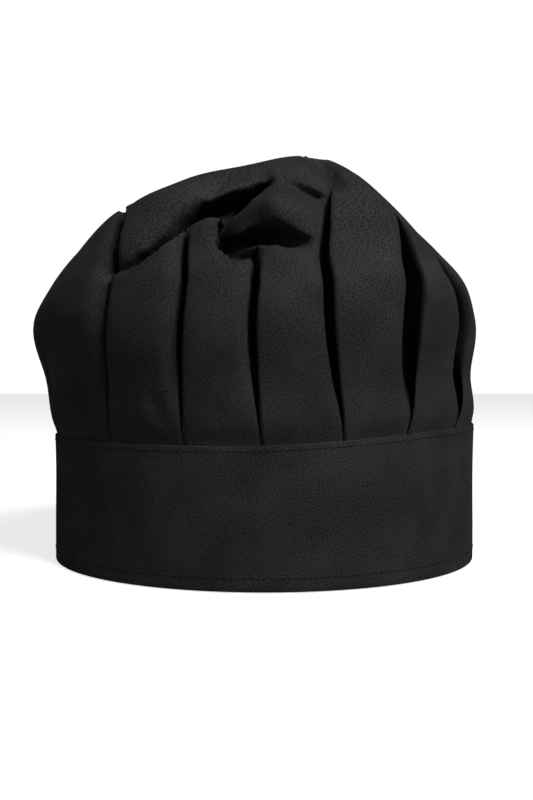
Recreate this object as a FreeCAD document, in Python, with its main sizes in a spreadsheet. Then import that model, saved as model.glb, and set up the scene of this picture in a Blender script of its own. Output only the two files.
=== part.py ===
import FreeCAD, Part
import math
import os
import Sketcher

# A chef's toque: a soft crown pleated into a stiffened band, with a hook-and-loop tab at the back.
# Millimetres, +Z up. The origin is the centre of the head opening, on the band's bottom edge.
# The wearer looks along -Y, so the tab and the slit in the crown are on the +Y side.

SIZES = {
    # band, worked from the outside inwards
    "band_radius": 95.5,
    "band_height": 56.0,
    "outer_cloth": 0.6,
    "core_layer": 0.9,
    "lining_cloth": 0.7,
    "bottom_fold": 0.6,
    "lining_inset": 1.2,
    "seam_allowance": 10.0,
    "gap_angle": 17.0,
    # thread rows
    "thread_proud": 0.2,
    "thread_width": 0.5,
    "top_row_drop": 2.2,
    "hem_row_rise": 5.5,
    "overlock_width": 0.5,
    "overlock_inset": 0.1,
    # crown: height, sideways lean and radius of each level, and its cloth
    "crown_cloth": 1.2,
    "neck_radius": 94.9,
    "swell_height": 80.0,
    "swell_lean": -2.5,
    "swell_radius": 98.5,
    "bulge_height": 107.0,
    "bulge_lean": -4.0,
    "bulge_radius": 102.0,
    "turn_height": 120.0,
    "turn_lean": -2.5,
    "turn_radius": 97.0,
    "shoulder_height": 134.0,
    "shoulder_lean": -3.5,
    "shoulder_radius": 86.0,
    "slope_height": 156.0,
    "slope_lean": -3.5,
    "slope_radius": 66.5,
    "ledge_height": 165.0,
    "ledge_lean": -2.5,
    "ledge_radius": 61.0,
    "brow_height": 173.0,
    "brow_lean": 4.5,
    "brow_radius": 41.0,
    "crest_height": 180.5,
    "crest_lean": 14.0,
    "crest_radius": 17.0,
    "peak_height": 183.0,
    "peak_lean": 17.0,
    "peak_radius": 6.0,
    # slit at centre back, and the binding round it
    "vent_top": 108.0,
    "binding_width": 5.0,
    # closure tab: three plies, hook tape under it, loop tape on the band
    "tab_ply": 0.6,
    "tab_height": 40.0,
    "tab_bottom": 8.0,
    "tab_root_clearance": 0.5,
    "tab_bend_radius": 30.0,
    "tab_sweep": 46.0,
    "tab_corner": 8.0,
    "tab_row_inset": 3.0,
    "tape_height": 25.0,
    "tape_row_inset": 2.0,
    "loop_tape": 1.2,
    "hook_tape": 1.25,
    "tape_gap": 0.45,
    "hook_start": 14.0,
    "hook_sweep": 22.0,
    "loop_start": 11.0,
    "loop_sweep": 50.0,
    # folded care label, standing from the band's top seam inside the crown
    "label_width": 25.0,
    "label_length": 34.0,
    "label_thickness": 0.9,
    "label_angle": 34.0,
    "label_lean": 4.0,
    "label_radius": 91.6,
    "label_base": 56.5,
}

doc = FreeCAD.newDocument("ChefToque")
sheet = doc.addObject("Spreadsheet::Sheet", "Sizes")
for row, (alias, value) in enumerate(SIZES.items(), start=1):
    sheet.set(f"A{row}", alias)
    sheet.set(f"B{row}", str(value))
    sheet.setAlias(f"B{row}", alias)
doc.recompute()

# surfaces that several pieces share, as expressions on the sheet
RIM = "Sizes.band_radius"
CORE_OUTSIDE = f"({RIM} - Sizes.outer_cloth)"
CORE_INSIDE = f"({CORE_OUTSIDE} - Sizes.core_layer)"
LINING_INSIDE = f"({CORE_INSIDE} - Sizes.lining_cloth)"
SEAM_BOTTOM = "(Sizes.band_height - Sizes.seam_allowance)"
LOOP_FACE = f"({RIM} + Sizes.loop_tape)"
HOOK_FACE = f"({LOOP_FACE} + Sizes.tape_gap)"
TAB_INSIDE = f"({HOOK_FACE} + Sizes.hook_tape)"
TAB_MIDDLE = f"({TAB_INSIDE} + 1.5 * Sizes.tab_ply)"
TAB_OUTSIDE = f"({TAB_INSIDE} + 3 * Sizes.tab_ply)"
TAB_TOP = "(Sizes.tab_bottom + Sizes.tab_height)"
TAPE_BOTTOM = "(Sizes.tab_bottom + (Sizes.tab_height - Sizes.tape_height) / 2)"
TAPE_TOP = f"({TAPE_BOTTOM} + Sizes.tape_height)"
BAND_SWEEP = "(360 - Sizes.gap_angle)"
FRONT = "180"  # turn from the back to the middle of a piece that goes round the front
REACH = 150.0  # longer than any cut has to go

parts = []


def value_of(expression):
    """The number that a sheet expression gives now."""
    return float(sheet.evalExpression(expression))


def new_body(name, kept=True):
    """A PartDesign body. A kept one is a sub-part, and its Label is the sub-part's name."""
    body = doc.addObject("PartDesign::Body", name)
    body.Label = name
    if kept:
        parts.append(body)
    return body


def new_sketch(body, name, role):
    """A sketch on one of the body's own origin planes."""
    sketch = body.newObject("Sketcher::SketchObject", name)
    plane = next(item for item in body.Origin.OriginFeatures if item.Role == role)
    sketch.AttachmentSupport = [(plane, "")]
    sketch.MapMode = "FlatFace"
    return sketch


def bind(sketch, constraint, expression):
    """Add a size to a sketch and bind it to the sheet."""
    index = sketch.addConstraint(constraint)
    sketch.setExpression(f"Constraints[{index}]", expression)


def add_circle(sketch, radius, lean=None):
    """A circle centred on the sketch's x axis, as far along it as lean says."""
    centre = FreeCAD.Vector(value_of(lean) if lean else 0, 0, 0)
    circle = sketch.addGeometry(Part.Circle(centre, FreeCAD.Vector(0, 0, 1), value_of(radius)))
    if lean:
        sketch.addConstraint(Sketcher.Constraint("PointOnObject", circle, 3, -1))
        bind(sketch, Sketcher.Constraint("DistanceX", -1, 1, circle, 3, centre.x), lean)
    else:
        sketch.addConstraint(Sketcher.Constraint("Coincident", circle, 3, -1, 1))
    bind(sketch, Sketcher.Constraint("Radius", circle, value_of(radius)), radius)


def add_outline(sketch, corners):
    """A closed outline of straight sides through corners, each a pair of expressions."""
    points = [FreeCAD.Vector(value_of(across), value_of(up), 0) for across, up in corners]
    count = len(points)
    for index in range(count):
        sketch.addGeometry(Part.LineSegment(points[index], points[(index + 1) % count]))
    for index in range(count):
        sketch.addConstraint(Sketcher.Constraint("Coincident", index, 2, (index + 1) % count, 1))
    for index, (across, up) in enumerate(corners):
        bind(sketch, Sketcher.Constraint("DistanceX", -1, 1, index, 1, points[index].x), across)
        bind(sketch, Sketcher.Constraint("DistanceY", -1, 1, index, 1, points[index].y), up)


def box_corners(left, right, bottom, top):
    """The corners of an upright rectangle."""
    return [(left, bottom), (right, bottom), (right, top), (left, top)]


def ring_section(inside, outside, bottom, top):
    """The corners of a ring's section, drawn on the -Y side of the YZ plane."""
    return box_corners(f"-{outside}", f"-{inside}", bottom, top)


def turn(body, kind, name, corners, sweep):
    """Revolve a section about Z, or groove it away, by the same angle to each side of -Y."""
    sketch = new_sketch(body, f"{name}_section", "YZ_Plane")
    add_outline(sketch, corners)
    feature = body.newObject(f"PartDesign::{kind}", name)
    feature.Profile = sketch
    feature.ReferenceAxis = (sketch, ["V_Axis"])
    feature.Midplane = True
    feature.setExpression("Angle", sweep)
    return feature


def ring_body(name, corners, sweep=BAND_SWEEP, middle=FRONT):
    """A strip that lies round the band. middle is the angle from the back to its middle."""
    body = new_body(name)
    turn(body, "Revolution", f"{name}_ring", corners, sweep)
    body.setExpression("Placement.Rotation.Angle", f"{middle} - 180")
    return body


def row_frame(name, face, inset, bottom, top, sweep, middle):
    """A row of thread round the edge of a tape, standing proud of the face it is sewn through."""
    inset_angle = f"({inset} / {face} * 180 / pi)"
    thread_angle = f"(Sizes.thread_width / {face} * 180 / pi)"
    outer_sweep = f"({sweep} - 2 * {inset_angle})"
    proud_face = f"({face} + Sizes.thread_proud)"
    section = ring_section(face, proud_face, f"({bottom} + {inset})", f"({top} - {inset})")
    body = ring_body(name, section, outer_sweep, middle)
    inner_bottom = f"({bottom} + {inset} + Sizes.thread_width)"
    inner_top = f"({top} - {inset} - Sizes.thread_width)"
    hole = ring_section(f"({face} - 1)", f"({proud_face} + 1)", inner_bottom, inner_top)
    turn(body, "Groove", f"{name}_hole", hole, f"({outer_sweep} - 2 * {thread_angle})")


# The band's outer strip turns in at the bottom and carries the stiffener and the lining on the turned edge.
ring_body(
    "band_outer",
    [
        (f"-{RIM}", "0"),
        (f"-{LINING_INSIDE}", "0"),
        (f"-{LINING_INSIDE}", "Sizes.bottom_fold"),
        (f"-{CORE_OUTSIDE}", "Sizes.bottom_fold"),
        (f"-{CORE_OUTSIDE}", "Sizes.band_height"),
        (f"-{RIM}", "Sizes.band_height"),
    ],
)

# The stiffener stops below the seam allowance, so that the pleats have room beside it.
ring_body(
    "band_interfacing",
    ring_section(CORE_INSIDE, CORE_OUTSIDE, "Sizes.bottom_fold", f"({SEAM_BOTTOM} - Sizes.overlock_width)"),
)
ring_body(
    "band_lining",
    ring_section(LINING_INSIDE, CORE_INSIDE, "Sizes.bottom_fold", "(Sizes.band_height - Sizes.lining_inset)"),
)

# Rows of thread through the band: the top row sews it to the crown, the lower one holds the turned edge.
for row_name, row_height in (
    ("band_top_stitching", "(Sizes.band_height - Sizes.top_row_drop)"),
    ("band_hem_stitching", "Sizes.hem_row_rise"),
):
    ring_body(
        row_name,
        ring_section(
            RIM,
            f"({RIM} + Sizes.thread_proud)",
            f"({row_height} - Sizes.thread_width / 2)",
            f"({row_height} + Sizes.thread_width / 2)",
        ),
    )

# The crown's raw edge is overlocked: a row of thread along the bottom of its seam allowance.
ring_body(
    "crown_edge_overlock",
    ring_section(
        f"({CORE_INSIDE} + Sizes.overlock_inset)",
        f"({CORE_OUTSIDE} - Sizes.overlock_inset)",
        f"({SEAM_BOTTOM} - Sizes.overlock_width)",
        SEAM_BOTTOM,
    ),
)

# The crown is a soft dome, lofted through its levels, and hollow. Its lowest part is the seam allowance
# that stands between the band's outer strip and its lining.
CROWN_LEVELS = ["neck", "swell", "bulge", "turn", "shoulder", "slope", "ledge", "brow", "crest", "peak"]
FLAT_LEVELS = CROWN_LEVELS[CROWN_LEVELS.index("slope"):]  # the cloth's thickness also lowers these


def level_sketch(body, level, inner):
    """One level of the crown: a circle at its height, leaning sideways as the cloth slumps."""
    side = "inner" if inner else "outer"
    radius = f"Sizes.{level}_radius"
    height = f"Sizes.{level}_height"
    if level == "neck":
        height = "Sizes.band_height"
    if inner:
        radius = f"({radius} - Sizes.crown_cloth)"
        if level in FLAT_LEVELS:
            height = f"({height} - Sizes.crown_cloth)"
    sketch = new_sketch(body, f"{side}_{level}", "XY_Plane")
    add_circle(sketch, radius, None if level == "neck" else f"Sizes.{level}_lean")
    sketch.setExpression("AttachmentOffset.Base.z", height)
    return sketch


crown_shell = new_body("crown_shell", kept=False)
outer_levels = [level_sketch(crown_shell, level, inner=False) for level in CROWN_LEVELS]
dome = crown_shell.newObject("PartDesign::AdditiveLoft", "dome")
dome.Profile = outer_levels[0]
dome.Sections = outer_levels[1:]
dome.Ruled = True
doc.recompute()
inner_levels = [level_sketch(crown_shell, level, inner=True) for level in CROWN_LEVELS]
hollow = crown_shell.newObject("PartDesign::SubtractiveLoft", "hollow")
hollow.Profile = inner_levels[0]
hollow.Sections = inner_levels[1:]
hollow.Ruled = True
doc.recompute()
allowance = new_sketch(crown_shell, "allowance_ring", "XY_Plane")
add_circle(allowance, CORE_OUTSIDE)
add_circle(allowance, CORE_INSIDE)
allowance.setExpression("AttachmentOffset.Base.z", SEAM_BOTTOM)
allowance_pad = crown_shell.newObject("PartDesign::Pad", "allowance_pad")
allowance_pad.Profile = allowance
allowance_pad.setExpression("Length", "Sizes.seam_allowance")
doc.recompute()


def vent_prism(name, corners):
    """An outline on the XZ plane, padded backwards through the crown's back wall."""
    body = new_body(name, kept=False)
    sketch = new_sketch(body, f"{name}_outline", "XZ_Plane")
    add_outline(sketch, corners)
    prism = body.newObject("PartDesign::Pad", f"{name}_pad")
    prism.Profile = sketch
    prism.Length = REACH
    prism.Reversed = True
    doc.recompute()
    assert body.Shape.BoundBox.YMax > REACH - 1
    return body


def boolean(kind, name, base, tool, kept):
    """A Part boolean of two objects."""
    result = doc.addObject(f"Part::{kind}", name)
    result.Base = base
    result.Tool = tool
    result.Label = name
    if kept:
        parts.append(result)
    return result


# The slit at centre back opens the crown above the gap in the band. A folded strip binds its edges,
# and its two sides meet in a long mitre, three widths above the slit's top.
GAP_SIDE = f"({RIM} * sin(Sizes.gap_angle / 2 * 1deg))"
BOUND_SIDE = f"({GAP_SIDE} + Sizes.binding_width)"
BOUND_TOP = "(Sizes.vent_top + 3 * Sizes.binding_width)"
BELOW = f"({SEAM_BOTTOM} - Sizes.binding_width)"
slit = vent_prism(
    "slit",
    [
        (f"-{GAP_SIDE}", BELOW),
        (GAP_SIDE, BELOW),
        (GAP_SIDE, "Sizes.band_height"),
        ("0", "Sizes.vent_top"),
        (f"-{GAP_SIDE}", "Sizes.band_height"),
    ],
)
bound_slit = vent_prism(
    "bound_slit",
    [
        (f"-{GAP_SIDE}", BELOW),
        (GAP_SIDE, BELOW),
        (GAP_SIDE, "Sizes.band_height"),
        (BOUND_SIDE, "Sizes.band_height"),
        ("0", BOUND_TOP),
        (f"-{BOUND_SIDE}", "Sizes.band_height"),
        (f"-{GAP_SIDE}", "Sizes.band_height"),
    ],
)
boolean("Cut", "crown", crown_shell, bound_slit, kept=True)
bound_cloth = boolean("Common", "bound_cloth", crown_shell, bound_slit, kept=False)
boolean("Cut", "vent_binding", bound_cloth, slit, kept=True)

# The loop tape is sewn to the band's other end, and the hook tape under the tab.
LOOP_MIDDLE = "(Sizes.loop_start + Sizes.loop_sweep / 2)"
HOOK_MIDDLE = "(Sizes.hook_start + Sizes.hook_sweep / 2)"
ring_body(
    "loop_strip", ring_section(RIM, LOOP_FACE, TAPE_BOTTOM, TAPE_TOP), "Sizes.loop_sweep", LOOP_MIDDLE
)
row_frame(
    "loop_strip_stitching",
    LOOP_FACE,
    "Sizes.tape_row_inset",
    TAPE_BOTTOM,
    TAPE_TOP,
    "Sizes.loop_sweep",
    LOOP_MIDDLE,
)
ring_body(
    "hook_strip", ring_section(HOOK_FACE, TAB_INSIDE, TAPE_BOTTOM, TAPE_TOP), "Sizes.hook_sweep", HOOK_MIDDLE
)
row_frame(
    "hook_strip_stitching",
    TAB_OUTSIDE,
    "Sizes.tape_row_inset",
    TAPE_BOTTOM,
    TAPE_TOP,
    "Sizes.hook_sweep",
    HOOK_MIDDLE,
)

# The tab is drawn lying along its own x axis, with y towards the head, and then placed at the band's end.
# It leaves the band straight, bends over the loop tape and goes on concentric with the band.
MIDDLE_RADIUS = f"({RIM} + {LINING_INSIDE}) / 2"
TAB_END_X = f"(sin(Sizes.tab_sweep * 1deg) * {TAB_MIDDLE} - Sizes.tab_root_clearance)"


def tab_spine(body, name, start, end_x):
    """The tab's middle line, from start along the straight run to end_x on the last arc."""
    bend = value_of("Sizes.tab_bend_radius")
    clearance = value_of("Sizes.tab_root_clearance")
    middle = value_of(MIDDLE_RADIUS)
    last_radius = value_of(TAB_MIDDLE)
    run = math.sqrt((last_radius - bend) ** 2 - (middle - bend) ** 2) - clearance
    down = -math.pi / 2
    bend_turn = math.atan2(run + clearance, middle - bend)
    end_turn = math.asin((value_of(end_x) + clearance) / last_radius)
    up = FreeCAD.Vector(0, 0, 1)
    start_point = FreeCAD.Vector(value_of(start), 0, 0)
    run_end = FreeCAD.Vector(run, 0, 0)
    bend_circle = Part.Circle(FreeCAD.Vector(run, bend, 0), up, bend)
    last_circle = Part.Circle(FreeCAD.Vector(-clearance, middle, 0), up, last_radius)
    sketch = new_sketch(body, name, "XY_Plane")
    sketch.addGeometry(Part.LineSegment(start_point, run_end))
    sketch.addGeometry(Part.ArcOfCircle(bend_circle, down, down + bend_turn))
    sketch.addGeometry(Part.ArcOfCircle(last_circle, down + bend_turn, down + end_turn))
    sketch.addConstraint(Sketcher.Constraint("PointOnObject", 0, 1, -1))
    sketch.addConstraint(Sketcher.Constraint("PointOnObject", 0, 2, -1))
    bind(sketch, Sketcher.Constraint("DistanceX", -1, 1, 0, 1, start_point.x), start)
    sketch.addConstraint(Sketcher.Constraint("Tangent", 0, 2, 1, 1))
    sketch.addConstraint(Sketcher.Constraint("Tangent", 1, 2, 2, 1))
    bind(sketch, Sketcher.Constraint("Radius", 1, bend), "Sizes.tab_bend_radius")
    bind(sketch, Sketcher.Constraint("Radius", 2, last_radius), TAB_MIDDLE)
    bind(sketch, Sketcher.Constraint("DistanceX", 2, 3, -1, 1, clearance), "Sizes.tab_root_clearance")
    bind(sketch, Sketcher.Constraint("DistanceY", -1, 1, 2, 3, middle), MIDDLE_RADIUS)
    bind(sketch, Sketcher.Constraint("DistanceX", -1, 1, 2, 2, value_of(end_x)), end_x)
    return sketch


def tab_layer(
    name, outer_side, inner_side, bottom, top, start="0", end_x=TAB_END_X, inset="0", kept=True
):
    """A layer of the tab: a section swept along its middle line, with rounded corners at the tip."""
    body = new_body(name, kept)
    spine = tab_spine(body, f"{name}_spine", start, end_x)
    section = new_sketch(body, f"{name}_section", "YZ_Plane")
    add_outline(section, box_corners(outer_side, inner_side, bottom, top))
    section.setExpression("AttachmentOffset.Base.z", start)
    sweep = body.newObject("PartDesign::AdditivePipe", f"{name}_sweep")
    sweep.Profile = section
    sweep.Spine = (spine, ["Edge1", "Edge2", "Edge3"])
    doc.recompute()
    tip_edges = []
    ply = value_of(inner_side) - value_of(outer_side)
    furthest = sweep.Shape.BoundBox.XMax
    for number, edge in enumerate(sweep.Shape.Edges, start=1):
        if edge.BoundBox.XMin > furthest - 2 * ply and edge.BoundBox.ZLength < 0.01:
            tip_edges.append(f"Edge{number}")
    assert len(tip_edges) == 2
    corners = body.newObject("PartDesign::Fillet", f"{name}_corners")
    corners.Base = (sweep, tip_edges)
    corners.setExpression("Radius", f"Sizes.tab_corner - {inset}")
    doc.recompute()
    root_turn = 180 - value_of("Sizes.gap_angle") / 2
    across = FreeCAD.Rotation(FreeCAD.Vector(0, 0, 1), root_turn)
    root = across.multVec(
        FreeCAD.Vector(value_of("Sizes.tab_root_clearance"), -value_of(MIDDLE_RADIUS), 0)
    )
    body.Placement = FreeCAD.Placement(root, across)
    return body


PLY = "Sizes.tab_ply"
tab_layer("tab_outer", f"(-1.5 * {PLY})", f"(-0.5 * {PLY})", "Sizes.tab_bottom", TAB_TOP)
tab_layer("tab_interfacing", f"(-0.5 * {PLY})", f"(0.5 * {PLY})", "Sizes.tab_bottom", TAB_TOP)
tab_layer("tab_lining", f"(0.5 * {PLY})", f"(1.5 * {PLY})", "Sizes.tab_bottom", TAB_TOP)


# One row of thread runs round the tab, a little in from its edge: a thin layer less a smaller, thicker one.
def row_layer(name, inset, outer_side, inner_side):
    """A layer of the tab that keeps a margin from the tab's edge all round."""
    return tab_layer(
        name,
        outer_side,
        inner_side,
        f"(Sizes.tab_bottom + {inset})",
        f"({TAB_TOP} - {inset})",
        start=inset,
        end_x=f"({TAB_END_X} - {inset} * cos(Sizes.tab_sweep * 1deg))",
        inset=inset,
        kept=False,
    )


ROW_INSIDE = "(Sizes.tab_row_inset + Sizes.thread_width)"
row_outside = row_layer(
    "row_outside", "Sizes.tab_row_inset", f"(-1.5 * {PLY} - Sizes.thread_proud)", f"(-1.5 * {PLY})"
)
row_inside = row_layer("row_inside", ROW_INSIDE, f"(-2.5 * {PLY})", f"(-0.5 * {PLY})")
boolean("Cut", "tab_edge_stitching", row_outside, row_inside, kept=True)

# The care label stands from the band's top seam and leans back on the inside of the crown.
label = new_body("care_label")
label_face = new_sketch(label, "label_face", "XZ_Plane")
HALF_LABEL = "(Sizes.label_width / 2)"
add_outline(label_face, box_corners(f"-{HALF_LABEL}", HALF_LABEL, "0", "Sizes.label_length"))
label_pad = label.newObject("PartDesign::Pad", "label_pad")
label_pad.Profile = label_face
label_pad.Reversed = True
label_pad.setExpression("Length", "Sizes.label_thickness")
doc.recompute()
label_turn = FreeCAD.Rotation(FreeCAD.Vector(0, 0, 1), value_of("Sizes.label_angle"))
label_tilt = FreeCAD.Rotation(FreeCAD.Vector(1, 0, 0), -value_of("Sizes.label_lean"))
label_foot = FreeCAD.Vector(0, value_of("Sizes.label_radius"), value_of("Sizes.label_base"))
label.Placement = FreeCAD.Placement(label_turn.multVec(label_foot), label_turn * label_tilt)

doc.recompute()
for item in doc.Objects:
    if "Invalid" in item.State or "Error" in item.State:
        raise RuntimeError(f"{item.Label} did not compute: {item.State}")
os.makedirs("parts", exist_ok=True)
for piece in parts:
    shape = piece.Shape
    if shape.isNull() or not shape.isValid() or not shape.Solids:
        raise RuntimeError(f"{piece.Label} has no valid solid")
    shape.exportStep(f"parts/{piece.Label}.step")
    box = shape.optimalBoundingBox()
    print(
        f"{piece.Label:22s} solids {len(shape.Solids)} volume {shape.Volume:9.1f} mm3"
        f" x {box.XMin:7.1f} {box.XMax:7.1f} y {box.YMin:7.1f} {box.YMax:7.1f}"
        f" z {box.ZMin:6.1f} {box.ZMax:6.1f}"
    )
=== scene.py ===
import math

import bmesh
import bpy
import numpy as np
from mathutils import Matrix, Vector, noise


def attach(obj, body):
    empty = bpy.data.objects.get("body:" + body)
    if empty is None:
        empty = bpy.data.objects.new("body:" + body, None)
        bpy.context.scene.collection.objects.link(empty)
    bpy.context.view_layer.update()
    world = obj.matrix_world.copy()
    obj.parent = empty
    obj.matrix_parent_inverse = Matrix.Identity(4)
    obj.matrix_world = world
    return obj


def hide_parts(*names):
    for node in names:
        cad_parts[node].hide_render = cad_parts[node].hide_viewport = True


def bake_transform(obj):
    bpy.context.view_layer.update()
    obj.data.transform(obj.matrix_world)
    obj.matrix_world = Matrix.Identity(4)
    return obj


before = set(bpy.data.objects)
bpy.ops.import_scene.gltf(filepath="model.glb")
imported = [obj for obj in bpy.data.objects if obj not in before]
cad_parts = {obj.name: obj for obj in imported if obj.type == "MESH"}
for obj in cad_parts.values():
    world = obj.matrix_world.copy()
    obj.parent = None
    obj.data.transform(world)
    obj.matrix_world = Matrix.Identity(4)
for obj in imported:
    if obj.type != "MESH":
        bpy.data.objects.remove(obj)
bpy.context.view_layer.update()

MM = 0.001

# ---------------------------------------------------------------------------------------------
# Stage. A white table top in a white room, lit by a broad soft light from the upper right and a
# weaker one from the left, as a small product is lit. The camera stands half a metre in front.

WHITE = "F6F6F5"


def to_linear(hex_colour):
    """An sRGB hex colour as linear red, green, blue and alpha."""
    channels = [int(hex_colour[index:index + 2], 16) / 255 for index in (0, 2, 4)]
    linear = [c / 12.92 if c <= 0.04045 else ((c + 0.055) / 1.055) ** 2.4 for c in channels]
    return (*linear, 1.0)


def add_node(tree, kind, settings=None, **links):
    """Add a node, set its properties and unlinked sockets, and link the named input sockets. A node
    given as a source stands for its first output."""
    node = tree.nodes.new(kind)
    for key, value in (settings or {}).items():
        if key.isdigit():
            node.inputs[int(key)].default_value = value
        elif key in node.inputs:
            node.inputs[key].default_value = value
        else:
            setattr(node, key, value)
    for key, source in links.items():
        socket = int(key[1:]) if key[0] == "i" and key[1:].isdigit() else key.replace("_", " ")
        if isinstance(source, bpy.types.Node):
            source = source.outputs[0]
        tree.links.new(source, node.inputs[socket])
    return node


def new_material(name):
    """An empty node material with its output node."""
    material = bpy.data.materials.new(name)
    material.use_nodes = True
    material.node_tree.nodes.clear()
    return material, material.node_tree, material.node_tree.nodes.new("ShaderNodeOutputMaterial")


def two_tones(tree, dark, light, share):
    """A colour that runs from dark to light as a share runs from 0 to 1."""
    tones = {"data_type": "RGBA", "6": to_linear(dark), "7": to_linear(light)}
    return add_node(tree, "ShaderNodeMix", tones, i0=share).outputs[2]


def raised(tree, strength, depth, height):
    """A bump of a depth in mm, from a texture's height."""
    bump = add_node(tree, "ShaderNodeBump", {"Strength": strength, "Distance": depth * MM}, Height=height)
    return bump.outputs[0]


def finish_surface(tree, output, settings, **links):
    """End a material in one shader with the settings and links given."""
    shader = add_node(tree, "ShaderNodeBsdfPrincipled", settings, **links)
    tree.links.new(shader.outputs[0], output.inputs["Surface"])


def seen_or_cast(tree, output, seen, cast):
    """End a shading that looks one way to the eye and another to the things it lights."""
    ray = add_node(tree, "ShaderNodeLightPath")
    either = add_node(tree, "ShaderNodeMixShader", i0=ray.outputs["Is Camera Ray"], i1=cast, i2=seen)
    tree.links.new(either.outputs[0], output.inputs["Surface"])


TABLE_SIZE = 6.0
TABLE_DROP = 0.0002  # just under the hat's bottom edge, so that the two never share a plane
TABLE_GLOW = 0.72  # lifts the table to white around the black hat, and leaves it a faint shadow
TABLE_BOUNCE = "7C7C7C"  # how bright the table is to the hat, so that its folds stay dark
table_mesh = bpy.data.meshes.new("table_top")
reach = TABLE_SIZE / 2
corners = [(-reach, -reach), (reach, -reach), (reach, reach), (-reach, reach)]
table_mesh.from_pydata([(x, y, -TABLE_DROP) for x, y in corners], [], [(0, 1, 2, 3)])
table_top = bpy.data.objects.new("table_top", table_mesh)
bpy.context.collection.objects.link(table_top)
laminate, tree, output = new_material("white_laminate")
plain = add_node(tree, "ShaderNodeBsdfPrincipled", {"Base Color": to_linear(WHITE), "Roughness": 0.7})
dim = add_node(tree, "ShaderNodeBsdfDiffuse", {"Color": to_linear(TABLE_BOUNCE)})
glowing = add_node(tree, "ShaderNodeEmission", {"Color": (1, 1, 1, 1), "Strength": TABLE_GLOW})
lifted = add_node(tree, "ShaderNodeAddShader", i0=plain, i1=glowing)
seen_or_cast(tree, output, lifted, dim)
table_mesh.materials.append(laminate)

# The room is white to the eye, and dimmer as a light, so that the black cloth keeps its shading.
ROOM_BRIGHTNESS = 1.02
ROOM_LIGHT = 0.07
world = bpy.data.worlds.new("white_room")
bpy.context.scene.world = world
world.use_nodes = True
tree = world.node_tree
tree.nodes.clear()
seen = add_node(tree, "ShaderNodeBackground", {"Color": (1, 1, 1, 1), "Strength": ROOM_BRIGHTNESS})
cast = add_node(tree, "ShaderNodeBackground", {"Color": (1, 1, 1, 1), "Strength": ROOM_LIGHT})
seen_or_cast(tree, add_node(tree, "ShaderNodeOutputWorld"), seen, cast)


def soft_light(name, place, target, size, power):
    """A square area light that faces a point."""
    data = bpy.data.lights.new(name, "AREA")
    data.size = size
    data.energy = power
    light = bpy.data.objects.new(name, data)
    light.location = place
    light.rotation_euler = (Vector(target) - Vector(place)).to_track_quat("-Z", "Y").to_euler()
    bpy.context.collection.objects.link(light)


HAT_MIDDLE = (0, 0, 0.1)
soft_light("key_light", (0.6, -0.74, 1.0), HAT_MIDDLE, 0.6, 23)
soft_light("fill_light", (-0.8, -0.6, 0.4), HAT_MIDDLE, 0.8, 1.6)

EYE_DISTANCE, EYE_HEIGHT = 508.0, 86.0  # mm, from the hat's axis and from the table
camera_data = bpy.data.cameras.new("camera")
camera_data.sensor_width = 36
camera_data.lens = 49.26
camera = bpy.data.objects.new("camera", camera_data)
camera.location = (0.93 * MM, -EYE_DISTANCE * MM, EYE_HEIGHT * MM)
LOOK_DOWN = math.radians(1.73)
camera.rotation_euler = (math.pi / 2 - LOOK_DOWN, 0, 0)
bpy.context.collection.objects.link(camera)
bpy.context.scene.camera = camera
bpy.context.scene.view_settings.view_transform = "Standard"

# ---------------------------------------------------------------------------------------------
# Crown. One circle of plain-woven poly-cotton, knife-pleated round its edge into the band and left
# to stand. Each pleat is pressed flat at the seam, opens into a deep fold where the crown is widest
# and closes above, where the spare cloth has slumped into folds of its own.

CUT_RADIUS = 206.0  # mm, of the circle as it was cut
SEAM_ALLOWANCE = 10.0  # mm, hidden inside the band
BAND_HEIGHT = 56.0
CROWN_CLOTH = 0.35  # mm thick
SEAM_RISE = 4.6  # how much higher the band stands on its right than on its left
SLIT_ANGLE = 17.0  # degrees that the slit at the centre back takes out of the band
SLIT_APEX = 52.7  # how far up the crown's cloth the slit runs

# The crown's levels, from the seam allowance to the peak. Each has the cloth's distance above the
# band, its height, its lean to the side and back, its half width and half depth, and how square it is.
LEVELS = np.array([
    # distance height lean_x lean_y width depth square
    (-10.0, 46.0, 0.0, 0.0, 94.4, 94.4, 2.0),
    (0.0, 56.0, 0.0, 0.0, 94.5, 94.5, 2.0),
    (6.5, 62.0, -0.5, 0.0, 96.0, 96.3, 2.0),
    (24.5, 80.0, -2.6, 0.0, 95.6, 97.0, 2.05),
    (51.5, 107.0, -4.0, 0.0, 98.0, 99.5, 2.15),
    (65.5, 120.0, -2.4, 0.5, 92.5, 96.5, 2.3),
    (82.5, 134.0, -3.0, 1.0, 80.5, 87.0, 2.5),
    (110.5, 156.0, -1.4, 1.5, 58.4, 68.0, 2.8),
    (124.0, 165.0, 3.3, 2.0, 45.2, 56.0, 2.6),
    (144.0, 173.5, 12.0, 2.0, 28.0, 38.0, 2.3),
    (167.0, 180.0, 16.0, 2.0, 13.5, 18.0, 2.1),
    (187.0, 182.0, 17.0, 2.0, 0.0, 0.0, 2.0),
])


def through(knots, values, at):
    """A smooth curve through knots, read at the places asked for."""
    knots = np.asarray(knots, float)
    values = np.asarray(values, float)
    slopes = np.gradient(values, knots)
    at = np.clip(at, knots[0], knots[-1])
    index = np.clip(np.searchsorted(knots, at, side="right") - 1, 0, len(knots) - 2)
    span = knots[index + 1] - knots[index]
    t = (at - knots[index]) / span
    return (
        (2 * t**3 - 3 * t**2 + 1) * values[index]
        + (t**3 - 2 * t**2 + t) * span * slopes[index]
        + (3 * t**2 - 2 * t**3) * values[index + 1]
        + (t**3 - t**2) * span * slopes[index + 1]
    )


def smooth_step(low, high, x):
    """0 below low, 1 above high, and smooth between."""
    t = np.clip((x - low) / (high - low), 0, 1)
    return t * t * (3 - 2 * t)


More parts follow.
